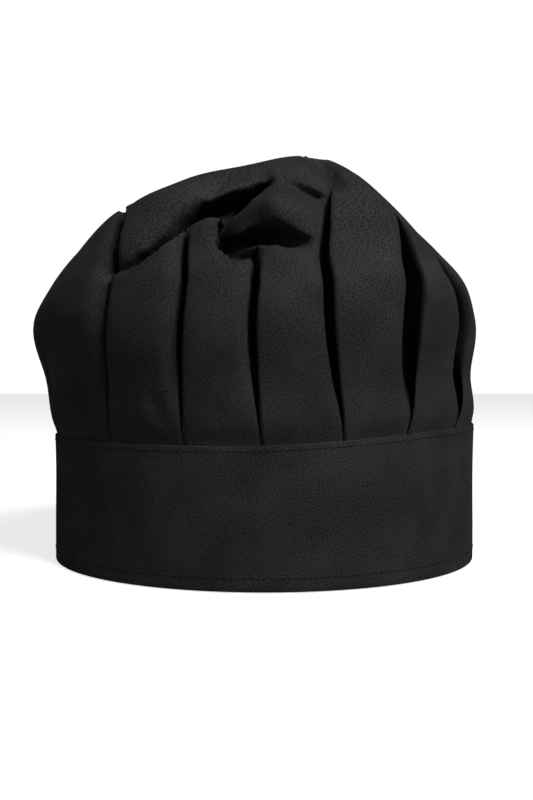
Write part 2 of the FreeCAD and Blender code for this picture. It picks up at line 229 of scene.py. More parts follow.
def from_front(angle):
    """An angle as degrees from the front, -180 to 180, with the hat's right-hand side positive."""
    return np.degrees(np.mod(angle + math.pi, 2 * math.pi) - math.pi)


def seam_rise(angle):
    """How far the band's top edge has ridden up at an angle, in mm."""
    turn = from_front(angle)
    return SEAM_RISE * smooth_step(-12, 60, turn) * (1 - smooth_step(95, 160, turn))


def round_hat(angle, radius, height):
    """A point at an angle from the front, a distance from the hat's axis, and a height."""
    return np.stack([radius * np.sin(angle), -radius * np.cos(angle), height], axis=-1)


def walked(points):
    """How far along a line of points each one lies."""
    return np.concatenate([[0], np.cumsum(np.linalg.norm(np.diff(points, axis=0), axis=-1))])


def dome(angle, distance):
    """The crown's even surface, in mm. angle is from the front (-Y) towards +X, in radians."""
    height, lean_x, lean_y, width, depth, square = (
        through(LEVELS[:, 0], LEVELS[:, column], distance) for column in range(1, 7)
    )
    sine = np.abs(np.sin(angle)) + 1e-9
    cosine = np.abs(np.cos(angle)) + 1e-9
    width = np.maximum(width, 1e-4)
    depth = np.maximum(depth, 1e-4)
    radius = ((sine / width) ** square + (cosine / depth) ** square) ** (-1 / square)
    height = height + seam_rise(angle) * (1 - smooth_step(0, 60, distance))
    return round_hat(angle, radius, height) + np.stack([lean_x, lean_y, 0 * height], axis=-1)


def dome_frame(angle, distance):
    """The dome's point, its outward normal and the mm per radian round it."""
    step = 0.004
    here = dome(angle, distance)
    round_it = (dome(angle + step, distance) - dome(angle - step, distance)) / (2 * step)
    up_it = dome(angle, np.minimum(distance + 0.5, 186.9)) - dome(angle, distance - 0.5)
    normal = np.cross(round_it, up_it)
    normal /= np.linalg.norm(normal, axis=-1, keepdims=True) + 1e-12
    return here, normal, np.linalg.norm(round_it, axis=-1)


# The pleats' sharp edges, in degrees from the front, at six distances up the cloth. The cloth turns
# under to the right of each. Each pleat has its own gap, and closes at its own distance.
EDGE_DISTANCES = [0.0, 30.0, 50.0, 75.0, 95.0, 118.0]
FRONT_PLEATS = [
    # the edge at those distances, how wide it gapes, and where it closes
    ((-71, -67.5, -67, -68, -69, -70), 0.5, 58),
    ((-40.5, -36.2, -34, -37, -44, -58), 0.75, 124),
    ((-19.2, -16.5, -15, -16.5, -18.5, -20), 0.85, 107),
    ((-0.8, 0.4, 0.8, 0.4, 1, 1), 0.8, 84),
    ((18.6, 18.8, 18, 17.5, 21, 25.5), 0.8, 122),
    ((36.6, 40.8, 41, 43.5, 52, 58), 1.9, 106),
    ((57.6, 66.5, 68.5, 64, 62, 62), 3.4, 84),
]
BACK_PLEATS = [81.0, 106.0, 130.0, 154.0, -163.0, -131.0, -110.0, -89.0]
BACK_CLOSES = [70, 88, 76, 95, 90, 98, 76, 86]
SLUMP = np.array([0.0, 0.7, 1.2, 1.4, 2.2, 3.0])  # how far a back pleat wanders at those distances
pleats = [(np.array(edge, float), gape, closes) for edge, gape, closes in FRONT_PLEATS]
for number, (seam_angle, closes) in enumerate(zip(BACK_PLEATS, BACK_CLOSES)):
    side = 1 if number % 2 else -1
    pleats.append((seam_angle + side * SLUMP, 0.9, closes))
pleats.sort(key=lambda pleat: pleat[0][0])

# How a pleat opens, at distances up the cloth: the gap that shows, how far the hidden fold reaches
# under the next panel, and how deep it lies.
OPENING = np.array([
    # distance gap reach depth
    (-10.0, 0.2, 18.0, 0.8),
    (0.0, 0.3, 18.0, 0.9),
    (8.0, 1.2, 15.0, 3.0),
    (25.0, 3.2, 9.0, 11.0),
    (50.0, 4.6, 6.0, 17.0),
    (75.0, 4.6, 5.0, 16.0),
    (100.0, 3.2, 3.5, 10.0),
    (125.0, 1.6, 2.0, 3.0),
    (187.0, 0.0, 0.0, 0.0),
])
RIGHT_TUCK = 1.3  # how much further the folds on the hat's right reach under
PUFF, ROLL = 1.4, 2.2  # how far a panel swells, and how far its right-hand side rolls in, in mm

FRONT_PANEL, BACK_PANEL = 22, 10
FRONT_FOLD, BACK_FOLD = 11, 9

# rows of the cloth's grid, closest together where the top folds are
ROW_SPACING = [(-10.0, 3), (0.0, 3), (8.0, 12), (50.0, 12), (80.0, 48), (130.0, 14), (160.0, 7), (184.0, 0)]
row_distances = []
for (low, count), (high, _) in zip(ROW_SPACING[:-1], ROW_SPACING[1:]):
    row_distances += [low + (high - low) * index / count for index in range(count)]
row_distances = np.array(row_distances + [ROW_SPACING[-1][0]])

half_slit = math.radians(SLIT_ANGLE / 2) * np.clip(1 - row_distances / SLIT_APEX, 0, 1)
half_slit[row_distances < 0] = math.radians(SLIT_ANGLE / 2)
edges = [np.radians(through(EDGE_DISTANCES, edge, row_distances)) for edge, _, _ in pleats]
starts = [half_slit - math.pi] + edges
ends = edges + [math.pi - half_slit]

grid_columns = []
grid_normals = []
for index in range(len(pleats) + 1):
    at_slit = index in (0, len(pleats))
    in_front = abs(from_front(starts[index][0])) < 90 or abs(from_front(ends[index][0])) < 90
    swell = smooth_step(2, 40, row_distances) * (1 - smooth_step(110, 165, row_distances))
    swell = swell * (0 if at_slit else 1)
    if index < len(pleats):
        _, gape, closes = pleats[index]
        gap, under, depth = (through(OPENING[:, 0], OPENING[:, k], row_distances) for k in (1, 2, 3))
        open_share = 1 - smooth_step(closes - 16, closes + 3, row_distances)
        tuck = 1 + RIGHT_TUCK * smooth_step(22, 42, from_front(edges[index])) * in_front
        gap, under, depth = gap * gape * open_share, under * tuck * open_share, depth * open_share
    else:
        gap = under = depth = open_share = np.zeros_like(row_distances)
    _, _, per_radian = dome_frame(ends[index], row_distances)
    per_radian = np.maximum(per_radian, 1)
    panel_end = ends[index] - gap / per_radian
    rolled = ROLL * swell * open_share
    panel_steps = FRONT_PANEL if in_front else BACK_PANEL
    last_step = panel_steps + (1 if index == len(pleats) else 0)
    for step in range(last_step):
        share = step / panel_steps
        angle = starts[index] + (panel_end - starts[index]) * share
        inward = rolled * float(smooth_step(0.8, 1.0, share)) ** 1.5
        inward = inward - PUFF * swell * math.sin(math.pi * share) ** 0.8
        here, normal, _ = dome_frame(angle, row_distances)
        grid_columns.append(here - normal * inward[:, None])
        grid_normals.append(normal)
    if index == len(pleats):
        break
    fold_steps = FRONT_FOLD if in_front else BACK_FOLD
    for step in range(fold_steps):
        share = step / fold_steps
        if share < 0.5:
            t = share * 2
            along = -gap + (under + gap) * t**2.2
            inward = rolled + (depth - rolled) * math.sin(math.pi / 2 * t) ** 0.8
        else:
            t = share * 2 - 1
            along = under * (1 - t) ** 1.2
            inward = depth * (1 - t**1.2)
        here, normal, _ = dome_frame(ends[index] + along / per_radian, row_distances)
        grid_columns.append(here - normal * inward[:, None])
        grid_normals.append(normal)
crown_grid = np.stack(grid_columns, axis=1)
crown_normals = np.stack(grid_normals, axis=1)

# The slumped top. Furrows, hollows and swellings are laid out as they stand when the hat is looked
# at from the front: across from the middle and up from the table, in mm.
shrink = EYE_DISTANCE / (EYE_DISTANCE + crown_grid[..., 1])
across = crown_grid[..., 0] * shrink
up = EYE_HEIGHT + (crown_grid[..., 2] - EYE_HEIGHT) * shrink
front_share = 1 - smooth_step(-12, 12, crown_grid[..., 1])
inward_way = np.array([0.0, 1.0, 0.0]) - 0.15 * crown_normals
inward_way /= np.linalg.norm(inward_way, axis=-1, keepdims=True)
moved = np.zeros_like(crown_grid)


DROOP_REACH = 4.0  # mm above a furrow over which its brow is drawn down
DROOP_DEPTH = 10.0  # how deep a furrow is where its brow hangs over it by the whole overhang


def furrow(path, brow, apron, overhang=0.0, press_way=inward_way):
    """Press a furrow along a path of (across, up, half width, depth). Its left-hand side, going
    along the path, is a brow that may hang over it, and the other side is an apron. The cloth is
    pressed the way the eye looks, or another way."""
    nearest = np.full(across.shape, 1e9)
    signed, width, depth = (np.zeros(across.shape) for _ in range(3))
    lean = np.zeros((*across.shape, 2))
    for (x0, z0, width0, depth0), (x1, z1, width1, depth1) in zip(path[:-1], path[1:]):
        run = math.hypot(x1 - x0, z1 - z0)
        way = ((x1 - x0) / run, (z1 - z0) / run)
        t = np.clip(((across - x0) * way[0] + (up - z0) * way[1]) / run, 0, 1)
        off_x = across - x0 - way[0] * run * t
        off_z = up - z0 - way[1] * run * t
        away = np.hypot(off_x, off_z)
        side = np.sign(way[0] * off_z - way[1] * off_x)
        closer = away < nearest
        nearest = np.where(closer, away, nearest)
        signed = np.where(closer, away * side, signed)
        width = np.where(closer, width0 + (width1 - width0) * t, width)
        depth = np.where(closer, depth0 + (depth1 - depth0) * t, depth)
        lean[closer] = (way[1], -way[0])
    soft = np.where(signed > 0, brow, apron)
    press = depth * (1 - smooth_step(width, width + soft, nearest)) * front_share
    moved[:] += press_way * press[..., None]
    on_brow = smooth_step(0.7 * width, width + brow, signed)
    on_brow = on_brow * (1 - smooth_step(width + brow, width + brow + DROOP_REACH, signed))
    droop = overhang * on_brow * np.clip(depth / DROOP_DEPTH, 0, 1) * front_share
    moved[..., 0] += lean[..., 0] * droop
    moved[..., 2] += lean[..., 1] * droop


def swelling(middle, size, height, turn=0.0):
    """Push an oval patch outward, or inward where the height is negative."""
    cosine, sine = math.cos(math.radians(turn)), math.sin(math.radians(turn))
    dx, dz = across - middle[0], up - middle[1]
    u = (dx * cosine + dz * sine) / size[0]
    v = (dz * cosine - dx * sine) / size[1]
    moved[:] -= inward_way * (height * np.exp(-(u * u + v * v)) * front_share)[..., None]


# the long valley under the crown's ridge, from the left shoulder to the top
furrow(
    [(-73, 129.5, 0.6, 2), (-63, 134.0, 1.0, 14), (-54, 140.5, 1.4, 20), (-45, 148.1, 1.8, 24),
     (-37.5, 155.0, 3.2, 25), (-28, 161.0, 4.2, 26), (-18, 164.4, 5.2, 26), (-9, 168.0, 4.6, 24),
     (-1, 171.2, 2.8, 18), (5, 172.0, 0.8, 0)],
    brow=1.5, apron=1.4, overhang=4.0,
)
swelling((-34, 171), (26, 4), 2.0, turn=25)
# the crescent that drops from the valley round the left of the hanging lobe: a deep tuck that goes
# back under the panel on its left, and the lobe's flank that falls away to it
UNDER_PANEL = np.array([-0.2, 0.98, 0.0])
CRESCENT = [(-4, 137), (-13, 137.5), (-19.5, 143), (-19.5, 152), (-15.5, 160), (-9, 168)]
TUCK_DEPTHS = (8, 16, 22, 23, 21, 18)
FLANK_DEPTHS = (2, 6, 8, 9, 9, 8)
tuck_path = [(x, z, 2.6, depth) for (x, z), depth in zip(CRESCENT, TUCK_DEPTHS)]
flank_path = [(x, z, 0.5, depth) for (x, z), depth in zip(CRESCENT, FLANK_DEPTHS)]
furrow(tuck_path, brow=1.2, apron=1.6, overhang=3.0, press_way=UNDER_PANEL)
furrow(flank_path, brow=1.0, apron=15.0)
# the slot under the lobe, with the front panel's top edge as its lip
furrow(
    [(-12, 144.5, 1.5, 10), (-4, 146.5, 2.0, 15), (4, 146.8, 2.2, 16), (12, 145.5, 1.8, 13),
     (18, 144, 1.2, 7), (24.5, 142.5, 0.4, 0)],
    brow=4.5, apron=2.0, overhang=1.5,
)
swelling((5, 159), (13, 8.5), 12.0, turn=-25)
swelling((10, 137), (14, 5), 1.5)
swelling((-27, 151), (6, 8), 1.5)
# the small folds to the right of the top
furrow(
    [(21, 181.5, 0.8, 1), (26, 178.5, 2.2, 4), (31.5, 174.5, 3.0, 6), (35, 171, 0.8, 3)],
    brow=2.0, apron=5.0, press_way=-crown_normals,
)
furrow([(7, 172.5, 0.5, 0), (16, 169, 0.9, 5), (25, 165, 1.0, 6), (29, 163, 0.5, 0)], brow=1.5, apron=3.0)
# the left-hand panel's edge, standing clear of the next up to the outline
furrow([(-70, 131, 0.5, 6), (-68.2, 145, 0.8, 9), (-65.5, 159, 0.9, 9)], brow=0.8, apron=1.0)
# soft creases in the panels
furrow([(24, 132, 0.5, 0), (17, 124, 1, 1.6), (9, 116, 0.5, 0)], brow=4.0, apron=6.0)
furrow([(-55, 76, 0.5, 0), (-50, 68, 1, 2.0), (-43, 58, 0.5, 0)], brow=3.0, apron=4.0)
furrow([(-92, 110, 0.5, 0), (-84, 92, 1, 1.5), (-78, 78, 0.5, 0)], brow=6.0, apron=5.0)
furrow([(-16, 72, 0.5, 0), (-22, 64, 1, 1.2), (-30, 60, 0.5, 0)], brow=4.0, apron=4.0)

# slow unevenness in the standing cloth, everywhere above the seam
UNEVEN_SIZE, UNEVEN_DEPTH = 34.0, 1.6
rows, count = crown_grid.shape[:2]
for row in range(rows):
    share = float(smooth_step(6, 45, row_distances[row]))
    for column in range(count):
        spot = Vector(crown_grid[row, column]) / UNEVEN_SIZE
        moved[row, column] += crown_normals[row, column] * (UNEVEN_DEPTH * share * noise.noise(spot))
near_slit = np.minimum(np.arange(count), np.arange(count)[::-1])
moved *= smooth_step(0, 6, near_slit)[None, :, None]
crown_grid = crown_grid + moved

# cloth does not crease as sharply as it was pushed, so what was moved most is eased most
EASING_ROUNDS, EASING = 3, 0.5
FULLY_EASED = 5.0  # mm that a point was moved
ease = EASING * np.clip(np.linalg.norm(moved, axis=-1) / FULLY_EASED, 0, 1)[1:-1, 1:-1, None]
for _ in range(EASING_ROUNDS):
    inner = crown_grid[1:-1, 1:-1]
    around = crown_grid[:-2, 1:-1] + crown_grid[2:, 1:-1] + crown_grid[1:-1, :-2] + crown_grid[1:-1, 2:]
    crown_grid[1:-1, 1:-1] = inner + (around / 4 - inner) * ease


def sheet_mesh(name, points, cut, peak=None):
    """A mesh from rows of points in mm. cut gives each point's place on the flat cloth, in mm, which
    becomes the UV map "cut", in metres. A peak point closes the last row."""
    row_count, column_count = points.shape[:2]
    vertices = [tuple(point) for point in points.reshape(-1, 3) * MM]
    places = [tuple(place) for place in np.asarray(cut, float).reshape(-1, 2) * MM]
    faces = []
    for row in range(row_count - 1):
        for column in range(column_count - 1):
            first = row * column_count + column
            faces.append((first, first + 1, first + 1 + column_count, first + column_count))
    if peak is not None:
        vertices.append(tuple(peak * MM))
        places.append((0.0, 0.0))
        last_row = (row_count - 1) * column_count
        faces += [(last_row + c, last_row + c + 1, len(vertices) - 1) for c in range(column_count - 1)]
    mesh = bpy.data.meshes.new(name)
    mesh.from_pydata(vertices, [], faces)
    layer = mesh.uv_layers.new(name="cut")
    for loop in mesh.loops:
        layer.data[loop.index].uv = places[loop.vertex_index]
    for polygon in mesh.polygons:
        polygon.use_smooth = True
    return mesh


def every_pair(down_rows, along_rows):
    """The flat cloth's places at every pair of distances, row by row."""
    return np.stack(np.meshgrid(down_rows, along_rows, indexing="ij"), axis=-1)


def add_piece(name, mesh, material, body, thickness=None, offset=-1.0):
    """Put a mesh in the scene as a piece, with its finish and its thickness. It rides on a body, or on none
    if no body is given."""
    piece = bpy.data.objects.new(name, mesh)
    bpy.context.collection.objects.link(piece)
    if material is not None:
        mesh.materials.append(material)
    if thickness:
        wall = piece.modifiers.new("cloth thickness", "SOLIDIFY")
        wall.thickness = thickness * MM
        wall.offset = offset
        wall.use_even_offset = False
    if body is not None:
        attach(piece, body)
    return piece


seam_row = int(np.argmin(np.abs(row_distances)))
along_seam = walked(crown_grid[seam_row])
turn_in_cut = (along_seam / along_seam[-1] - 0.5) * 2 * math.pi
from_centre = (CUT_RADIUS - SEAM_ALLOWANCE) * (1 - row_distances / LEVELS[-1, 0])
crown_cut = np.stack(
    [np.outer(from_centre, np.cos(turn_in_cut)), np.outer(from_centre, np.sin(turn_in_cut))], axis=-1
)
PEAK_RISE = 0.3
WELD_DISTANCE = 0.02  # mm, closes the panels' shared points above the slit and where pleats are shut
peak_point = crown_grid[-1].mean(axis=0) + np.array([0, 0, PEAK_RISE])
crown_mesh = sheet_mesh("crown_cloth", crown_grid, crown_cut, peak=peak_point)
closing = bmesh.new()
closing.from_mesh(crown_mesh)
bmesh.ops.remove_doubles(closing, verts=closing.verts, dist=WELD_DISTANCE * MM)
closing.to_mesh(crown_mesh)
closing.free()

# Black poly-cotton: 65/35 plain weave of short-staple yarn, soft and matt. Single threads are about
# 0.35 mm apart, too fine to show, so the yarn's slubs are drawn one to two threads wide. Loose fibre
# ends give it a faint sheen where it turns away.
CLOTH_BLACK, CLOTH_FLECK = "121212", "363637"
THREAD_PITCH = 0.35
WARP_SHARES, WEFT_SHARES = (0.6, 1), (1, 0.8)  # each yarn's slubs are longer along the yarn


def woven_cloth(name, shade, fleck, slub, sheen, worn=0.15):
    """Plain-woven cloth whose warp runs along the first direction of the UV map "cut"."""
    material, tree, output = new_material(name)
    cut_map = add_node(tree, "ShaderNodeUVMap", {"uv_map": "cut"})
    yarns = []
    for u_share, v_share in (WARP_SHARES, WEFT_SHARES):
        scale = (u_share / (slub * MM), v_share / (slub * MM), 1)
        run = add_node(tree, "ShaderNodeMapping", {"Scale": scale}, Vector=cut_map)
        noisy = {"Scale": 1.0, "Detail": 1.0, "Roughness": 0.6}
        yarns.append(add_node(tree, "ShaderNodeTexNoise", noisy, Vector=run).outputs["Fac"])
    slubs = add_node(tree, "ShaderNodeMix", {"Factor": 0.4}, A=yarns[0], B=yarns[1])
    lightness = add_node(
        tree, "ShaderNodeMapRange", {"From Min": 0.38, "From Max": 0.68}, Value=slubs.outputs["Result"]
    )
    handled = add_node(tree, "ShaderNodeTexNoise", {"Scale": 45.0, "Detail": 2.0}, Vector=cut_map)
    wear = add_node(
        tree, "ShaderNodeMapRange", {"From Min": 0.35, "From Max": 0.75, "To Min": -worn, "To Max": worn},
        Value=handled.outputs["Fac"],
    )
    total = add_node(
        tree, "ShaderNodeMath", {"operation": "ADD", "use_clamp": True},
        i0=lightness, i1=wear,
    )
    thread_scale = 1 / (2 * THREAD_PITCH * MM)
    threads = add_node(
        tree, "ShaderNodeMapping", {"Scale": (thread_scale, thread_scale, 1)}, Vector=cut_map
    )
    checks = add_node(tree, "ShaderNodeTexChecker", {"Scale": 2.0}, Vector=threads)
    relief = add_node(
        tree, "ShaderNodeMix", {"Factor": 0.35}, A=slubs.outputs["Result"], B=checks.outputs["Fac"]
    )
    finish_surface(
        tree, output,
        {"Roughness": 0.8, "Specular IOR Level": 0.08, "Sheen Weight": sheen, "Sheen Roughness": 0.35},
        Base_Color=two_tones(tree, shade, fleck, total),
        Normal=raised(tree, 0.5, 0.25, relief.outputs["Result"]),
    )
    return material


black_cloth = woven_cloth("black_poly_cotton", CLOTH_BLACK, CLOTH_FLECK, slub=0.45, sheen=0.01)
crown_cloth = add_piece("crown_cloth", crown_mesh, black_cloth, "hat", thickness=CROWN_CLOTH)
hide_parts("crown")

# ---------------------------------------------------------------------------------------------
# Headband. A strip of the same black cloth round a fleece stiffener, with a grey-black lining inside.
# The outer cloth is turned under at the hem, the ends and the top seam, and has softened with wear.

BAND_RADIUS = 95.5
HALF_GAP = math.radians(SLIT_ANGLE / 2)
BAND_TURN = math.pi - HALF_GAP  # the band runs this far each way from the front
FOLD_STEPS = 5


def band_place(angle, radius, height):
    """A point of the band as worn in: its top edge rides up on the right, and its wall is uneven."""
    angle, radius, height = np.broadcast_arrays(angle, radius, height)
    share = np.clip(height / BAND_HEIGHT, 0, 1)
    height = height + seam_rise(angle) * share
    turn = from_front(angle)
    firm = 1 - smooth_step(150, 170, np.abs(turn))
    belly = np.sin(math.pi * share) * firm
    radius = radius + belly * (0.5 * np.sin(2 * angle + 0.6) + 0.35 * np.sin(5 * angle + 1.9 + 2.5 * share))
    radius = radius - 0.5 * firm * (1 - share) ** 2 * (1 + np.cos(3 * angle + 0.4)) / 2
    return round_hat(angle, radius, height)


def folded_profile(low, high, half_wall, tuck):
    """Distances along a strip's width, with how far each lies back from the face: the strip is
    folded round half_wall at both edges and runs back behind its face by tuck."""
    turn = [math.pi * step / FOLD_STEPS for step in range(FOLD_STEPS + 1)]
    bottom = [(low + half_wall * (1 - math.sin(a)), half_wall * (1 + math.cos(a))) for a in turn]
    top = [(high - half_wall * (1 - math.sin(a)), half_wall * (1 - math.cos(a))) for a in turn]
    rise = np.linspace(low + half_wall, high - half_wall, 26)[1:-1]
    profile = [(bottom[0][0] + tuck, bottom[0][1])] + bottom + [(z, 0.0) for z in rise] + top
    return np.array(profile + [(top[-1][0] - tuck, top[-1][1])])


def band_strip(name, radius, low, high, half_wall, tuck, inward=False, columns=220):
    """A band cloth from end to end, folded at its hem, its top edge and both ends."""
    rise = folded_profile(low, high, half_wall, tuck)
    length = 2 * BAND_TURN * radius
    run = folded_profile(-length / 2, length / 2, half_wall, tuck)
    fold = FOLD_STEPS + 3  # points of an end's fold, with its tucked edge and the first of its face
    middle = np.linspace(run[fold - 1, 0], run[-fold, 0], columns)[1:-1]
    run = np.concatenate([run[:fold], np.stack([middle, 0 * middle], 1), run[-fold:]])
    back = np.maximum(run[None, :, 1], rise[:, None, 1])
    depth = -back if inward else back
    angle = run[None, :, 0] / radius + 0 * back
    height = rise[:, None, 0] + 0 * back
    points = band_place(angle, radius - depth, height)
    steps_up = walked(rise)
    steps_along = walked(run)
    cut = every_pair(steps_up, steps_along)
    if inward:
        points = points[:, ::-1]
        cut = cut[:, ::-1]
    return sheet_mesh(name, points, cut), (steps_along[-1] * MM, steps_up[-1] * MM)


BAND_CLOTH = 0.3
outer_mesh, outer_flat = band_strip(
    "band_outer_cloth", BAND_RADIUS, BAND_CLOTH, BAND_HEIGHT, half_wall=0.45, tuck=4.0
)
band_outer_cloth = add_piece(
    "band_outer_cloth", outer_mesh, black_cloth, "hat", thickness=BAND_CLOTH
)
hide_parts("band_outer")

# Lining: a dark grey percale, smoother and closer woven than the outside, folded at its lower edge.
LINING_GREY, LINING_FLECK = "26272A", "3F4146"
grey_percale = woven_cloth("grey_percale_lining", LINING_GREY, LINING_FLECK, slub=0.5, sheen=0.0, worn=0.1)
LINING_RADIUS = 93.3
lining_mesh, lining_flat = band_strip(
    "band_lining_cloth", LINING_RADIUS, low=0.7, high=55.0, half_wall=0.25, tuck=3.0, inward=True
)
band_lining_cloth = add_piece(
    "band_lining_cloth", lining_mesh, grey_percale, "hat", thickness=0.2
)
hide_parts("band_lining")

# Stiffener: pressed white fleece, sealed between the two cloths, and only seen if a seam opens.
FLEECE_WHITE, FLEECE_SHADE = "D9D7D0", "B9B6AD"
pressed_fleece, tree, output = new_material("pressed_fleece")
place = add_node(tree, "ShaderNodeTexCoord")
fibres = add_node(tree, "ShaderNodeTexNoise", {"Scale": 900.0, "Detail": 4.0}, Vector=place.outputs["Object"])
finish_surface(
    tree, output, {"Roughness": 0.95},
    Base_Color=two_tones(tree, FLEECE_SHADE, FLEECE_WHITE, fibres.outputs["Fac"]),
    Normal=raised(tree, 0.6, 0.3, fibres.outputs["Fac"]),
)
FLEECE_BOTTOM, FLEECE_TOP, FLEECE_RADIUS = 1.2, 45.0, 94.55
FLEECE_END = BAND_TURN - 0.012
fleece_angles = np.linspace(-FLEECE_END, FLEECE_END, 200)
fleece_heights = np.linspace(FLEECE_BOTTOM, FLEECE_TOP, 10)
fleece_points = band_place(fleece_angles[None, :], FLEECE_RADIUS, fleece_heights[:, None])
fleece_cut = every_pair(fleece_heights, fleece_angles * BAND_RADIUS)
fleece_mesh = sheet_mesh("band_interfacing_fleece", fleece_points, fleece_cut)
band_fleece = add_piece(
    "band_interfacing_fleece", fleece_mesh, pressed_fleece, "hat", thickness=0.5
)
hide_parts("band_interfacing")

# ---------------------------------------------------------------------------------------------
# Slit binding. A woven 12 mm cotton tape, folded lengthwise over the slit's edges, up one side and
# down the other, with a fold in it where the two sides meet above the slit.

BINDING_LIFT = 0.3  # mm that its outer leg stands off the cloth
slit_half_width = BAND_RADIUS * math.sin(HALF_GAP)
slit_tilt = math.atan2(slit_half_width, SLIT_APEX)
BINDING_SECTION = [  # distance in from the cloth's edge, and out from the cloth's face
    (5.0, 0.1), (4.9, BINDING_LIFT), (3.7, BINDING_LIFT), (2.4, BINDING_LIFT), (1.2, BINDING_LIFT),
    (0.2, 0.25), (-0.3, 0.0), (-0.35, -0.3), (0.0, -0.6), (1.2, -0.7), (2.4, -0.7), (3.7, -0.7), (5.0, -0.7),
]
BINDING_STEPS = 44


def beside_slit(side, start_share, into_cloth, lift):
    """A point beside the slit: a share of the way up its edge, and so far into the cloth."""
    top = SLIT_APEX * (1 + max(into_cloth, 0) * math.cos(slit_tilt) / slit_half_width)
    climb = start_share * top
    x = slit_half_width * (1 - climb / SLIT_APEX) + into_cloth * math.cos(slit_tilt)
    distance = climb + into_cloth * math.sin(slit_tilt)
    _, _, per_radian = dome_frame(np.array([math.pi]), np.array([distance]))
    here, normal, _ = dome_frame(np.array([math.pi]) - side * x / per_radian, np.array([distance]))
    return (here + normal * lift)[0]


binding_rows = []
for into_cloth, lift in BINDING_SECTION:
    shares = np.linspace(0.0, 1.0, BINDING_STEPS)
    right = [beside_slit(1, share, into_cloth, lift) for share in shares]
    left = [beside_slit(-1, share, into_cloth, lift) for share in shares[::-1][1:]]
    binding_rows.append(right + left)
binding_points = np.array(binding_rows)
binding_width = walked(np.array(BINDING_SECTION))
edge_steps = walked(binding_points[2])
binding_cut = every_pair(binding_width, edge_steps)
binding_mesh = sheet_mesh("vent_binding_tape", binding_points[:, ::-1], binding_cut[:, ::-1])
cotton_tape = woven_cloth("black_cotton_tape", "111111", "262627", slub=0.8, sheen=0.0, worn=0.08)
vent_binding_tape = add_piece("vent_binding_tape", binding_mesh, cotton_tape, "hat", thickness=0.22)
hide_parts("vent_binding")

# ---------------------------------------------------------------------------------------------
# Closure tab. Two plies of the black cloth turned through over a fleece, sewn into the band's end
# on the wearer's left, so it folds open there. It carries the hook tape on its inside.

TAB_LOW, TAB_HIGH, TAB_CORNER = 8.0, 48.0, 8.0
TAB_MIDDLE = 99.3  # mm, the radius of its middle ply where it lies over the band's other end
ROOT_RADIUS, ROOT_CLEARANCE, BEND_RADIUS = 94.4, 0.5, 30.0
TAB_SWEEP = math.radians(46)
TAB_WALL = 0.9  # mm, from the middle ply to each face
root_turn = BAND_TURN
straight_run = math.sqrt((TAB_MIDDLE - BEND_RADIUS) ** 2 - (ROOT_RADIUS - BEND_RADIUS) ** 2) - ROOT_CLEARANCE
bend_turn = math.atan2(straight_run + ROOT_CLEARANCE, ROOT_RADIUS - BEND_RADIUS)
tab_length = straight_run + BEND_RADIUS * bend_turn + TAB_MIDDLE * (TAB_SWEEP - bend_turn)
TAB_TUCK = 3.0  # mm of the tab that goes into the band's end


def tab_place(run, height, outward):
    """A point of the tab: so far along it from its root, at a height, and outward from its middle."""
    run, height, outward = (np.asarray(v, float) for v in np.broadcast_arrays(run, height, outward))
    first = straight_run
    second = first + BEND_RADIUS * bend_turn
    bend = np.clip(run - first, 0, second - first) / BEND_RADIUS
    last = np.clip(run - second, 0, None) / TAB_MIDDLE
    turn = bend + last
    x = np.minimum(run, first) + BEND_RADIUS * np.sin(bend)
    y = BEND_RADIUS * (1 - np.cos(bend))
    x = x + TAB_MIDDLE * (np.sin(bend_turn + last) - math.sin(bend_turn))
    y = y + TAB_MIDDLE * (math.cos(bend_turn) - np.cos(bend_turn + last))
    x = x + outward * np.sin(turn) + ROOT_CLEARANCE
    y = y - outward * np.cos(turn) - ROOT_RADIUS
    cosine, sine = math.cos(root_turn), math.sin(root_turn)
    return np.stack([x * cosine - y * sine, x * sine + y * cosine, height], axis=-1)


def tab_half_height(run, inset=0.0):
    """Half the tab's height, less an inset, with its tip's corners rounded."""
    corner = TAB_CORNER - inset
    into_corner = np.clip(run - (tab_length - TAB_CORNER), 0, corner)
    return (TAB_HIGH - TAB_LOW) / 2 - TAB_CORNER + np.sqrt(corner**2 - into_corner**2)


tab_middle_height = (TAB_LOW + TAB_HIGH) / 2
tab_runs = np.concatenate([
    np.linspace(-TAB_TUCK, tab_length - TAB_CORNER, 50),
    tab_length - TAB_CORNER * (1 - np.sin(np.linspace(0, math.pi / 2, 12)[1:])),
])
tab_shares = np.sin(np.linspace(-math.pi / 2, math.pi / 2, 31))


def tab_ply(name, face):
    """One ply of the tab. Its edges curve in to meet the other ply's all round but at the root."""
    half = tab_half_height(tab_runs)
    height = tab_middle_height + np.outer(tab_shares, half)
    to_side = (1 - np.abs(tab_shares))[:, None] * half[None, :]
    to_tip = (tab_length - tab_runs)[None, :] + 0 * to_side
    edge = np.clip(np.minimum(to_side, to_tip) / 1.4, 0, 1)
    padded = TAB_WALL * (0.12 + 0.88 * np.sqrt(1 - (1 - edge) ** 2))
    in_band = 1 - 0.45 * (1 - smooth_step(-TAB_TUCK, 2, tab_runs))
    pucker = 0.06 * np.sin(tab_runs * 2.1)[None, :] * (1 - smooth_step(2.0, 6.0, to_side))
    points = tab_place(tab_runs[None, :], height, face * (padded * in_band + pucker))
    cut = np.stack([height, tab_runs[None, :] + 0 * height], axis=-1)
    if face < 0:
        points, cut = points[::-1], cut[::-1]
    return sheet_mesh(name, points, cut)


